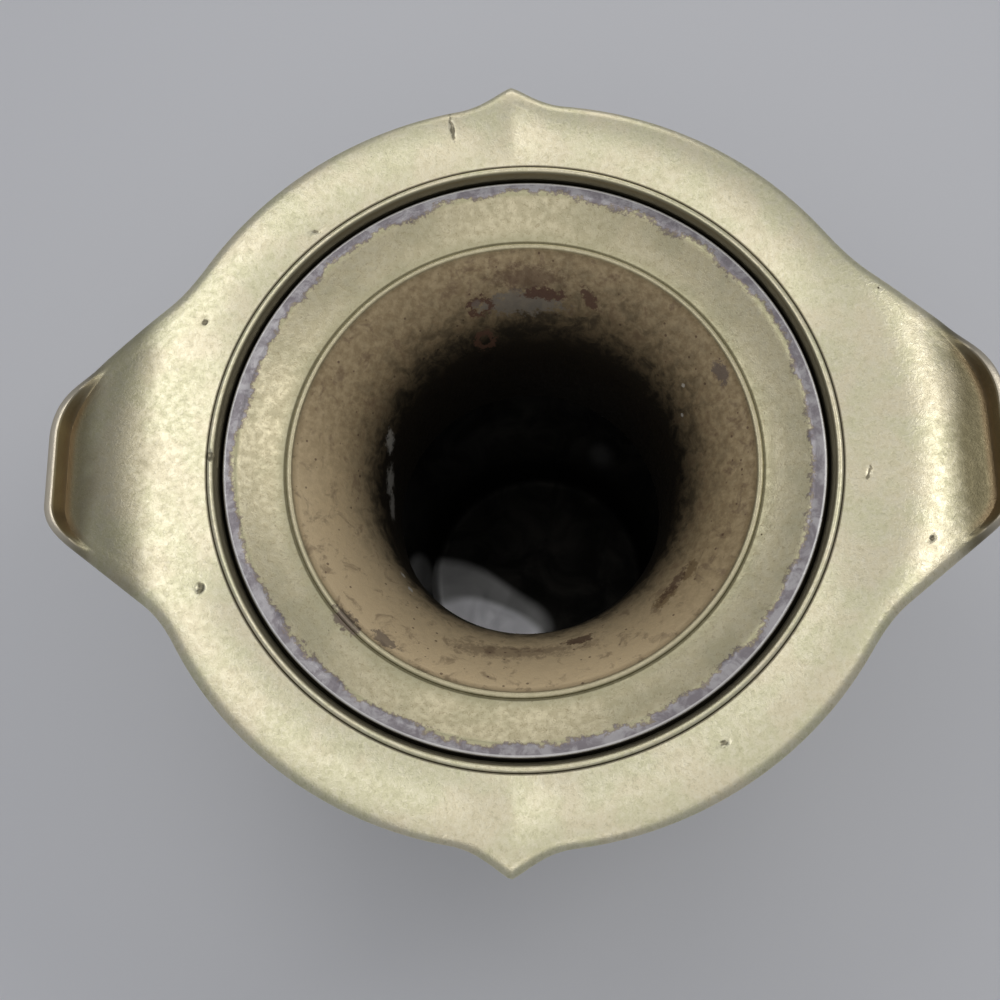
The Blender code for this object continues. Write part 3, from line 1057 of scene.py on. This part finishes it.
@dataclass(frozen=True)
class KhakiBronze:
    """Khaki-gold satin bronze of the brim and the outside.

    Attributes:
        sizes: Sizes of the frame.
        crest_radius: Radius of the bead's crest.
        plate_radius: Radius of the crease behind the bead.
        pits: Pits and nicks, which are painted darker.
    """

    sizes: FrameSizes
    crest_radius: float
    plate_radius: float
    pits: tuple[Pit, ...]
    warm: Colour = (0.76, 0.69, 0.49)
    green: Colour = (0.70, 0.67, 0.45)
    light: Colour = (0.84, 0.79, 0.62)
    olive: Colour = (0.36, 0.335, 0.20)
    # painted shade for the ears' downturned slopes
    painted_ear_shade: Colour = (0.150, 0.128, 0.070)
    speck: Colour = (0.13, 0.11, 0.07)
    # painted shade for the deep gap between the dish and the seat
    painted_gap_shade: Colour = (0.085, 0.076, 0.046)
    # painted shade for the seat and the bead's inner wall
    painted_seat_shade: Colour = (0.27, 0.245, 0.160)
    # painted shade for the concave fold inside each lip
    fold: Colour = (0.28, 0.212, 0.124)
    lip_top: Colour = (0.74, 0.67, 0.54)
    under: Colour = (0.42, 0.35, 0.20)
    plate_rise: float = 0.0030  # the plate over the dish's rim
    pit_fill: float = 0.75
    left_bend_shade: Stretch = (-0.1125, -0.1205)  # along X, where the painted shade on the ears' downturned slopes starts and is full
    left_end_shade: Stretch = (-0.1315, -0.1385)
    right_bend_shade: Stretch = (0.1245, 0.1370)
    bend_waver: float = 0.0015

    def marks(self) -> list[Mark]:
        """Darken the pits and nicks.

        Returns:
            One mark for each pit.
        """
        marks = []
        for pit in self.pits:
            place = (pit.x, pit.y, self.sizes.rim_height + self.plate_rise)
            radius = self.pit_fill * pit.radius
            marks.append(Mark(self.speck, place, (radius * pit.stretch, radius, 0.01), pit.turn, 0.75))
        return marks

    def material(self) -> bpy.types.Material:
        """Build the finish.

        Returns:
            The material.
        """
        bench = Bench("khaki_satin_bronze")
        radius = bench.radius()
        height = bench.height()
        cloud, mottle, fine = bench.patina()
        colour = bench.mix(bench.span(cloud, 0.38, 0.62), self.warm, self.green)
        colour = bench.mix(bench.span(mottle, 0.42, 0.66, 0.0, 0.35), colour, self.light)
        colour = bench.mix(bench.span(mottle, 0.46, 0.30, 0.0, 0.16), colour, self.olive)
        colour = bench.mix(bench.span(fine, 0.50, 0.66, 0.0, 0.50), colour, self.light)
        colour = bench.mix(bench.span(fine, 0.46, 0.30, 0.0, 0.30), colour, self.olive)
        rim = self.sizes.rim_height
        outside = bench.span(height, rim - 0.006, rim - 0.016)
        colour = bench.mix(bench.times(outside, 0.6), colour, self.under)
        colour = bench.mix(bench.specks(150.0, 0.07, 0.85), colour, self.speck)

        # ears: painted shade on their downturned slopes, which catch less light
        along = bench.add("ShaderNodeSeparateXYZ", {0: bench.place}).outputs["X"]
        along = bench.calc("ADD", along, bench.span(cloud, 0.3, 0.7, -self.bend_waver, self.bend_waver))
        left_bend_shade = bench.span(along, *self.left_bend_shade, 0.0, 0.46)
        left_end_shade = bench.span(along, *self.left_end_shade, 0.0, 0.34)
        right_ear_shade = bench.span(along, *self.right_bend_shade, 0.0, 0.94)
        ears = bench.calc("MAXIMUM", bench.calc("ADD", left_bend_shade, left_end_shade), right_ear_shade)
        colour = bench.mix(ears, colour, self.painted_ear_shade)

        # painted shade in the seat, down the gap and in the crease behind the bead
        mouth = bench.span(height, rim - 0.0050, rim - 0.0042)
        inner = bench.span(radius, self.crest_radius - 0.0002, self.crest_radius - 0.0009)
        colour = bench.mix(bench.times(mouth, inner), colour, self.painted_seat_shade)
        gap = bench.times(bench.span(height, rim - 0.0006, rim - 0.0020), inner)
        colour = bench.mix(bench.times(gap, mouth), colour, self.painted_gap_shade)
        # painted shade: the crease behind the bead is darkened with the speck colour
        crease = bench.times(bench.band(radius, self.plate_radius, 0.0002, 0.0004), 0.85)
        colour = bench.mix(crease, colour, self.speck)

        # lips and pits: painted shade in the lips' folds, their flat tops, and the darkened pits
        fold = bench.times(bench.kept(FOLD_SHARE), bench.span(mottle, 0.3, 0.7, 0.95, 0.75))
        colour = bench.mix(fold, colour, self.fold)
        colour = bench.mix(bench.times(bench.kept(TOP_SHARE), 0.9), colour, self.lip_top)
        colour = bench.paint(colour, self.marks(), mottle)

        rough = bench.span(mottle, 0.3, 0.7, 0.40, 0.32)
        bench.feed(colour, rough, 0.95)
        bench.relief(((fine, 0.00006), (mottle, 0.00005)))
        return bench.material


@dataclass(frozen=True)
class DishBronze:
    """Finish of the mouth dish: cream-khaki dish, worn violet-grey rim and red-brown stained funnel, with
    painted shade and light.

    Attributes:
        rim_height: Height of the flat rim.
        edge_radius: Outer radius of the rim.
        crease_radius: Radius of the crease at the dish's foot.
        ridge_radius: Radius of the middle of the ridge.
        ridge_half: Half the ridge's width.
    """

    rim_height: float
    edge_radius: float
    crease_radius: float
    ridge_radius: float
    ridge_half: float
    light: Colour = (0.71, 0.645, 0.445)
    middle: Colour = (0.64, 0.575, 0.380)
    olive: Colour = (0.40, 0.385, 0.24)
    brown: Colour = (0.28, 0.20, 0.105)
    tan: Colour = (0.56, 0.44, 0.26)
    # painted light on the funnel's near and left side
    painted_light_tan: Colour = (0.80, 0.64, 0.40)
    rust: Colour = (0.115, 0.062, 0.042)
    worn: Colour = (0.39, 0.375, 0.385)
    worn_dark: Colour = (0.23, 0.21, 0.225)
    # worn metal on the rounded outer edge, with a painted highlight as a pale line
    worn_edge_and_highlight: Colour = (0.72, 0.71, 0.69)
    fringe: Colour = (0.19, 0.14, 0.13)
    # painted shade deep in the funnel and the throat
    throat_shade: Colour = (0.006, 0.005, 0.004)
    worn_width: float = 0.0038
    worn_soft: float = 0.0005
    shade_lean: Place = (0.06, 0.14, 0.0)  # how much higher the painted shade reaches towards +X and +Y; the painted light lies on the other side
    speck: Colour = (0.11, 0.085, 0.045)
    # painted shade for the crease at the dish's foot
    crease_shade: Colour = (0.10, 0.088, 0.045)
    # painted highlight along the ridge's crest
    ridge: Colour = (0.56, 0.50, 0.34)
    chalk: Colour = (0.66, 0.64, 0.58)

    def marks(self) -> tuple[Mark, ...]:
        """Return the funnel's and the ridge's stains, scrapes and lime, and a painted sheen on the funnel's
        far wall.

        Returns:
            The marks in the order in which they lie on each other.
        """
        violet = (0.18, 0.140, 0.115)
        grey = (0.20, 0.185, 0.16)
        return (
            # painted sheen: a grey band of reflected light on the funnel's far wall
            Mark(grey, (0.001, 0.0595, 0.170), (0.0135, 0.006, 0.0036), 0.0, 0.75),
            Mark(self.rust, (0.003, 0.066, 0.1765), (0.011, 0.005, 0.0034), -4.0, 0.55, 0.9),
            Mark(self.rust, (0.0085, 0.0620, 0.1722), (0.0072, 0.0040, 0.0016), -12.0, 0.95, 0.35),
            Mark(self.rust, (0.0235, 0.0585, 0.1735), (0.0016, 0.0050, 0.0034), 36.0, 0.9, 0.5),
            Mark(self.rust, (-0.0135, 0.0592, 0.1700), (0.0042, 0.0040, 0.0034), 13.0, 0.95, 0.3, 0.55),
            Mark(self.rust, (-0.0127, 0.0517, 0.1588), (0.0036, 0.0036, 0.0040), 13.0, 0.95, 0.3, 0.5),
            Mark(violet, (-0.0145, 0.0600, 0.1712), (0.0016, 0.0012, 0.0012), 13.0, 0.9),
            Mark(violet, (0.0642, 0.0282, 0.1800), (0.0024, 0.0040, 0.0030), 24.0, 0.85),
            Mark(self.brown, (0.0433, -0.0431, 0.1707), (0.0050, 0.0026, 0.0026), 45.0, 0.9),
            Mark(self.brown, (0.0514, -0.0346, 0.1719), (0.0040, 0.0020, 0.0022), 60.0, 0.9),
            Mark(self.rust, (0.0462, -0.0380, 0.1705), (0.0070, 0.0018, 0.0022), 52.0, 0.7),
            Mark(self.rust, (-0.0090, -0.0585, 0.1680), (0.0260, 0.0045, 0.0034), 2.0, 0.45, 0.9),
            Mark(self.rust, (0.0162, -0.0546, 0.1650), (0.0050, 0.0022, 0.0026), 10.0, 0.8),
            Mark(violet, (-0.0556, -0.0497, 0.1825), (0.0055, 0.0028, 0.0022), -48.0, 0.85),
            Mark(violet, (-0.0436, -0.0559, 0.1806), (0.0045, 0.0022, 0.0020), -40.0, 0.75),
            Mark(self.chalk, (-0.0462, 0.0186, 0.1510), (0.0050, 0.0012, 0.0032), 94.0, 0.55, 0.9),
            Mark(self.chalk, (-0.0470, 0.0070, 0.1430), (0.0052, 0.0012, 0.0036), 92.0, 0.50, 0.9),
            Mark(self.chalk, (-0.0469, -0.0008, 0.1385), (0.0042, 0.0011, 0.0030), 88.0, 0.45, 0.9),
            Mark(self.chalk, (-0.0415, -0.0287, 0.1526), (0.0009, 0.0011, 0.0009), 0.0, 0.9),
            Mark(self.chalk, (-0.0385, -0.0346, 0.1558), (0.0011, 0.0012, 0.0010), 0.0, 0.9),
            Mark(self.chalk, (0.0529, 0.0284, 0.1695), (0.0006, 0.0006, 0.0006), 0.0, 0.7),
            Mark(self.chalk, (0.0527, 0.0198, 0.1640), (0.0007, 0.0007, 0.0007), 0.0, 0.7),
        )

    def material(self) -> bpy.types.Material:
        """Build the finish.

        Returns:
            The material.
        """
        bench = Bench("stained_dish_bronze")
        radius = bench.radius()
        height = bench.height()
        cloud, mottle, fine = bench.patina()
        blot = bench.grain(170.0, 4.0, 0.66, 0.5)
        ragged = bench.grain(480.0, 4.0, 0.75)
        lumps = bench.grain(70.0, 2.0, 0.5)
        upper = bench.span(height, self.rim_height - 0.016, self.rim_height - 0.012)

        # dish
        colour = bench.mix(bench.span(mottle, 0.38, 0.64), self.middle, self.light)
        colour = bench.mix(bench.span(cloud, 0.46, 0.64, 0.0, 0.30), colour, self.olive)
        foot = bench.span(radius, self.crease_radius + 0.0052, self.crease_radius + 0.0004, 0.0, 0.5)
        colour = bench.mix(foot, colour, self.olive)
        colour = bench.mix(bench.span(fine, 0.48, 0.30, 0.0, 0.35), colour, self.brown)
        edge = self.edge_radius
        flat = bench.span(radius, edge - 0.0056, edge - 0.0040, 0.0, 0.72)
        colour = bench.mix(flat, colour, self.olive)
        colour = bench.mix(bench.specks(150.0, 0.07, 0.80), colour, self.speck)

        # funnel, with painted shade deepening towards its foot and reaching higher on the far and right
        # sides, and painted light on the near and left side
        ridge_top = self.ridge_radius - 0.3 * self.ridge_half
        inside = bench.span(radius, ridge_top, ridge_top - self.ridge_half)
        tint = bench.mix(bench.span(mottle, 0.30, 0.72, 0.30, 0.95), self.brown, self.tan)
        lean = bench.vector("DOT_PRODUCT", bench.place, self.shade_lean, "Value")
        tint = bench.mix(bench.span(lean, 0.0010, -0.0085, 0.0, 0.85), tint, self.painted_light_tan)
        tint = bench.mix(bench.span(blot, 0.52, 0.68, 0.0, 0.45), tint, self.rust)
        tint = bench.mix(bench.times(bench.specks(420.0, 0.20, 0.60), 0.7), tint, self.rust)
        depth = bench.calc("ADD", height, bench.span(blot, 0.3, 0.7, -0.004, 0.004))
        depth = bench.calc("SUBTRACT", depth, lean)
        throat_shade_share = bench.span(depth, self.rim_height - 0.015, self.rim_height - 0.041, 0.0, 0.97)
        tint = bench.mix(throat_shade_share, tint, self.throat_shade)
        colour = bench.mix(inside, colour, tint)

        # worn rim with its frayed edge
        outer = bench.times(bench.span(radius, edge - 0.0080, edge - 0.0075), upper)
        wear = bench.calc("ADD", radius, bench.span(ragged, 0.3, 0.7, -0.0010, 0.0010))
        wear = bench.calc("ADD", wear, bench.span(lumps, 0.3, 0.7, -0.0012, 0.0014))
        fringe = bench.times(bench.band(wear, edge - self.worn_width - 0.0001, 0.0002, 0.0006), 0.55)
        worn = bench.mix(bench.span(blot, 0.40, 0.62), self.worn, self.worn_dark)
        inner_edge = edge - self.worn_width
        share = bench.span(wear, inner_edge - self.worn_soft, inner_edge + self.worn_soft)
        colour = bench.mix(bench.times(share, outer), colour, worn)
        colour = bench.mix(bench.times(fringe, outer), colour, self.fringe)
        # worn rounded outer edge, lightened as a painted highlight
        bright = bench.times(bench.band(radius, edge - 0.0006, 0.0003, 0.0002), 0.7)
        colour = bench.mix(bright, colour, self.worn_edge_and_highlight)

        # painted shade in the crease, painted highlight along the ridge, and the marks
        crease_shade = bench.times(bench.band(radius, self.crease_radius + 0.0001, 0.0002, 0.0005), upper)
        colour = bench.mix(bench.times(crease_shade, 0.85), colour, self.crease_shade)
        # painted highlight: a lighter line along the ridge's crest
        crest = bench.calc("ADD", radius, bench.span(ragged, 0.3, 0.7, -0.0003, 0.0003))
        half = self.ridge_half
        crest = bench.times(bench.band(crest, self.ridge_radius, 0.15 * half, 0.5 * half), upper)
        colour = bench.mix(bench.times(crest, bench.span(blot, 0.3, 0.7, 0.9, 0.4)), colour, self.ridge)
        colour = bench.paint(colour, self.marks(), ragged)

        rough = bench.span(mottle, 0.3, 0.7, 0.46, 0.36)
        rough = bench.calc("ADD", rough, bench.times(inside, 0.08))
        metal = bench.calc("SUBTRACT", 0.95, bench.times(inside, 0.35))
        bench.feed(colour, rough, metal)
        bench.relief(((fine, 0.00006), (mottle, 0.00006)))
        return bench.material


@dataclass(frozen=True)
class PaintedInside:
    """Painted shade of the dark inside, with a painted pool of light on its floor and lower wall and a faint
    painted reflection on the far wall.

    Attributes:
        floor: Height of the inside floor.
    """

    floor: float
    # painted shade: the floor and walls inside are coloured near black for the darkness deep in the vase
    inside_shade: Colour = (0.004, 0.004, 0.003)
    wall: Colour = (0.012, 0.011, 0.009)
    light_pool: Colour = (0.97, 0.97, 1.00)
    faint_light: Colour = (0.38, 0.38, 0.375)

    def material(self) -> bpy.types.Material:
        """Build the finish.

        Returns:
            The material.
        """
        bench = Bench("painted_inside_shade_and_light")
        blot = bench.grain(60.0, 5.0, 0.6, 0.8)
        colour = bench.mix(bench.span(blot, 0.35, 0.65), self.inside_shade, self.wall)
        # painted light: a pool of light through the mouth on the floor and the lower left wall, and a faint
        # painted reflection on the far right wall
        marks = (
            Mark(self.faint_light, (-0.022, -0.0140, self.floor), (0.029, 0.0115, 0.004), -21.0, 0.9, 0.5),
            Mark(self.light_pool, (-0.018, -0.0215, self.floor), (0.0185, 0.0082, 0.003), -14.0, 0.95, 0.5),
            Mark(self.faint_light, (-0.0490, -0.0010, 0.036), (0.004, 0.006, 0.012), 0.0, 0.6, 0.8),
            Mark(self.faint_light, (0.0278, 0.0479, 0.0406), (0.008, 0.008, 0.010), 60.0, 0.12, 0.8),
        )
        colour = bench.paint(colour, marks, bench.grain(24.0, 0.0, 0.5))
        bench.feed(colour, bench.span(blot, 0.3, 0.7, 0.7, 0.55), 0.85)
        bench.relief(((blot, 0.0001),))
        return bench.material


@dataclass(frozen=True)
class Softbox:
    """A square studio light.

    Attributes:
        name: Its name.
        direction: Way from the vase's mouth to the light.
        distance: How far away it hangs.
        side: Its width.
        power: Its power in watts.
        colour: Its colour.
    """

    name: str
    direction: Place
    distance: float
    side: float
    power: float
    colour: Colour

    def hang(self, target: Vector) -> None:
        """Hang the light so that it faces the target.

        Args:
            target: Place that it lights.
        """
        data = bpy.data.lights.new(self.name, "AREA")
        data.shape = "SQUARE"
        data.size = self.side
        data.energy = self.power
        data.color = self.colour
        lamp = bpy.data.objects.new(self.name, data)
        way = Vector(self.direction).normalized()
        lamp.location = target + way * self.distance
        lamp.rotation_euler = way.to_track_quat("Z", "Y").to_euler()
        bpy.context.scene.collection.objects.link(lamp)


@dataclass
class Studio:
    """Pale floor, soft lights and the camera that looks down into the mouth."""

    rim_height: float
    floor_half: float = 3.0
    floor_colour: Colour = (0.74, 0.75, 0.78)
    floor_roughness: float = 0.9
    sky: Colour = (0.84, 0.86, 0.92)
    sky_strength: float = 0.38
    focal: float = 1400.0  # lens in pixels of a frame 1000 wide
    camera_place: Place = (0.0145, -0.1383, 0.4122)  # from the middle of the mouth
    camera_aim: Place = (-0.00694, -0.01505, 0.0)
    camera_roll: float = math.radians(-11.351)
    lights: tuple[Softbox, ...] = (
        Softbox("ceiling_softbox", (-0.04, 0.01, 1.0), 0.95, 0.80, 0.90, (1.0, 0.96, 0.89)),
        Softbox("left_softbox", (-0.36, 0.38, 1.0), 0.70, 0.28, 0.44, (1.0, 0.99, 0.98)),
        Softbox("right_softbox", (1.0, 0.38, 1.34), 1.00, 0.26, 1.02, (1.0, 0.98, 0.95)),
        Softbox("far_softbox", (0.10, 1.75, 1.0), 1.00, 0.45, 0.75, (1.0, 0.97, 0.92)),
        Softbox("near_softbox", (-0.04, -0.62, 1.0), 0.95, 0.34, 0.45, (1.0, 0.96, 0.90)),
    )

    def lay_floor(self) -> None:
        """Lay the plain pale floor."""
        shape = bmesh.new()
        bmesh.ops.create_grid(shape, x_segments=1, y_segments=1, size=self.floor_half)
        mesh = bpy.data.meshes.new("floor")
        shape.to_mesh(mesh)
        shape.free()
        bench = Bench("pale_floor")
        bench.feed((*self.floor_colour, 1.0), self.floor_roughness, 0.0)
        mesh.materials.append(bench.material)
        floor = bpy.data.objects.new("floor", mesh)
        bpy.context.scene.collection.objects.link(floor)

    def light(self) -> None:
        """Hang the lights and set the plain sky."""
        world = bpy.data.worlds.new("studio")
        world.use_nodes = True
        sky = world.node_tree.nodes["Background"]
        sky.inputs["Color"].default_value = (*self.sky, 1.0)
        sky.inputs["Strength"].default_value = self.sky_strength
        bpy.context.scene.world = world
        bpy.context.scene.view_settings.view_transform = "Standard"
        for lamp in self.lights:
            lamp.hang(Vector((0.0, 0.0, self.rim_height)))

    def set_camera(self) -> None:
        """Set the camera at the photograph's viewing angle."""
        mouth = Vector((0.0, 0.0, self.rim_height))
        place = mouth + Vector(self.camera_place)
        forward = (mouth + Vector(self.camera_aim) - place).normalized()
        level = forward.cross(Vector((0.0, 0.0, 1.0))).normalized()
        upright = level.cross(forward)
        right = math.cos(self.camera_roll) * level + math.sin(self.camera_roll) * upright
        up = right.cross(forward)
        data = bpy.data.cameras.new("camera")
        data.sensor_width = 36.0
        data.lens = self.focal * data.sensor_width / 1000.0
        data.clip_start = 0.01
        camera = bpy.data.objects.new("camera", data)
        pose = Matrix((right, up, -forward)).transposed().to_4x4()
        pose.translation = place
        camera.matrix_world = pose
        bpy.context.scene.collection.objects.link(camera)
        bpy.context.scene.camera = camera

    def build(self) -> None:
        """Set up the whole studio."""
        self.lay_floor()
        self.light()
        self.set_camera()


def main() -> None:
    """Build both castings and the studio in order."""
    logging.basicConfig(level=logging.INFO, format="%(name)s: %(message)s")
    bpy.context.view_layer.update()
    sizes = FrameSizes.read()
    Studio(sizes.rim_height).build()
    body = VaseBody(sizes)
    body.build()
    MouthDish(sizes, body.seat_bore).build()


if __name__ == "__main__":
    main()
